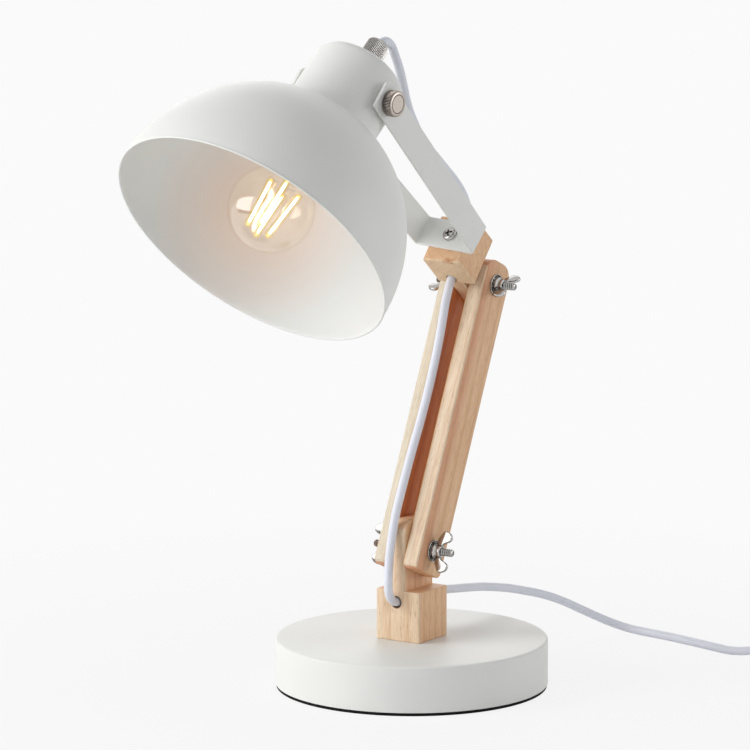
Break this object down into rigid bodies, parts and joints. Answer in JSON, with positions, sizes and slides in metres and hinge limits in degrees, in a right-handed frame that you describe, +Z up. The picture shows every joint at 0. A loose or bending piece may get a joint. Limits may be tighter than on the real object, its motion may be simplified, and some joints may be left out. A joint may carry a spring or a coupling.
{
  "type": "wooden desk lamp",
  "caption": "Desk lamp with a round weighted base, a hinged wooden arm clamped by wing nuts, and a metal dome shade that tilts in a U bracket.",
  "frame": {"origin": "middle of the base's underside, on the desk", "axes": "+Z up, -Y the way the lamp faces, +X along the pivots to the lamp's left"},
  "size_m": [0.3802, 0.3714, 0.3614],
  "materials": {
    "white_paint": "satin",
    "pine": "oiled",
    "nickel": "satin",
    "steel": "satin",
    "black_pad": "matte",
    "iron": "rough",
    "white_plastic": "satin",
    "dark_plastic": "satin",
    "brass": "satin",
    "amber_glass": "clear",
    "clear_glass": "clear",
    "lit_filament": "matte",
    "cord_white": "satin"
  },
  "bodies": {
    "base": {"base_pad": "black_pad", "base_shell": "white_paint", "ballast": "iron", "base_washer": "steel", "base_screw": "steel", "lower_block": "pine", "arm_lead_lower": "cord_white", "cord_run": "cord_white", "switch_bottom": "white_plastic", "switch_top": "white_plastic", "cord_coil": "cord_white", "coil_tie": "dark_plastic", "plug_body": "white_plastic", "plug_pins": "nickel"},
    "rocker": {"rocker": "white_plastic"},
    "arm": {"arm_left": "pine", "arm_right": "pine", "lower_rod": "steel", "upper_rod": "steel", "lower_washer_left": "nickel", "lower_washer_right": "nickel", "upper_washer_left": "nickel", "upper_washer_right": "nickel", "arm_lead_upper": "cord_white"},
    "wing_lower_left": {"wing_lower_left": "nickel"},
    "wing_lower_right": {"wing_lower_right": "nickel"},
    "wing_upper_left": {"wing_upper_left": "nickel"},
    "wing_upper_right": {"wing_upper_right": "nickel"},
    "head": {"head_block": "pine", "bracket_screw": "nickel", "shade_lead_lower": "cord_white"},
    "bracket": {"bracket": "white_paint", "shade_lead_upper": "cord_white"},
    "shade": {"cup": "white_paint", "dome": "white_paint", "nipple": "steel", "nipple_nut": "steel", "grip_base": "nickel", "grip_cap": "nickel", "holder_body": "white_plastic", "holder_shell": "brass", "holder_contact": "brass", "bulb_cap": "nickel", "bulb_insulator": "dark_plastic", "bulb_glass": "amber_glass", "bulb_stem": "clear_glass", "filaments": "lit_filament"},
    "knob_left": {"knob_left": "nickel"},
    "knob_right": {"knob_right": "nickel"}
  },
  "joints": [
    {"name": "arm_hinge", "type": "hinge", "parent": "base", "child": "arm", "pos_m": [0, 0, 0.0769], "axis": [1, 0, 0], "range_deg": [-30, 35], "deforming": ["arm_lead_lower"]},
    {"name": "head_hinge", "type": "hinge", "parent": "arm", "child": "head", "pos_m": [0, 0.06223, 0.21602], "axis": [1, 0, 0], "range_deg": [-35, 20], "deforming": ["arm_lead_upper"]},
    {"name": "bracket_swivel", "type": "hinge", "parent": "head", "child": "bracket", "pos_m": [0, 0.03876, 0.24492], "axis": [0, -0.7615, 0.6481], "range_deg": [-35, 35], "deforming": ["shade_lead_lower"]},
    {"name": "shade_tilt", "type": "hinge", "parent": "bracket", "child": "shade", "pos_m": [0, -0.06382, 0.33223], "axis": [0.9965, -0.0542, -0.0637], "range_deg": [-40, 12], "deforming": ["shade_lead_upper"]},
    {"name": "wing_turn_lower_right", "type": "hinge", "parent": "arm", "child": "wing_lower_right", "pos_m": [0, 0, 0.0769], "axis": [1, 0, 0], "range_deg": [0, 180]},
    {"name": "wing_turn_lower_left", "type": "hinge", "parent": "arm", "child": "wing_lower_left", "pos_m": [0, 0, 0.0769], "axis": [-1, 0, 0], "range_deg": [0, 180]},
    {"name": "wing_turn_upper_right", "type": "hinge", "parent": "arm", "child": "wing_upper_right", "pos_m": [0, 0.06223, 0.21602], "axis": [1, 0, 0], "range_deg": [0, 180]},
    {"name": "wing_turn_upper_left", "type": "hinge", "parent": "arm", "child": "wing_upper_left", "pos_m": [0, 0.06223, 0.21602], "axis": [-1, 0, 0], "range_deg": [0, 180]},
    {"name": "knob_turn_right", "type": "hinge", "parent": "shade", "child": "knob_right", "pos_m": [0, -0.06382, 0.33223], "axis": [0.9965, -0.0542, -0.0637], "range_deg": [0, 180]},
    {"name": "knob_turn_left", "type": "hinge", "parent": "shade", "child": "knob_left", "pos_m": [0, -0.06382, 0.33223], "axis": [-0.9965, 0.0542, 0.0637], "range_deg": [0, 180]},
    {"name": "rocker_press", "type": "hinge", "parent": "base", "child": "rocker", "pos_m": [0.182, 0.14, 0.0136], "axis": [0.279, 0.9603, 0], "range_deg": [0, 12]}
  ]
}
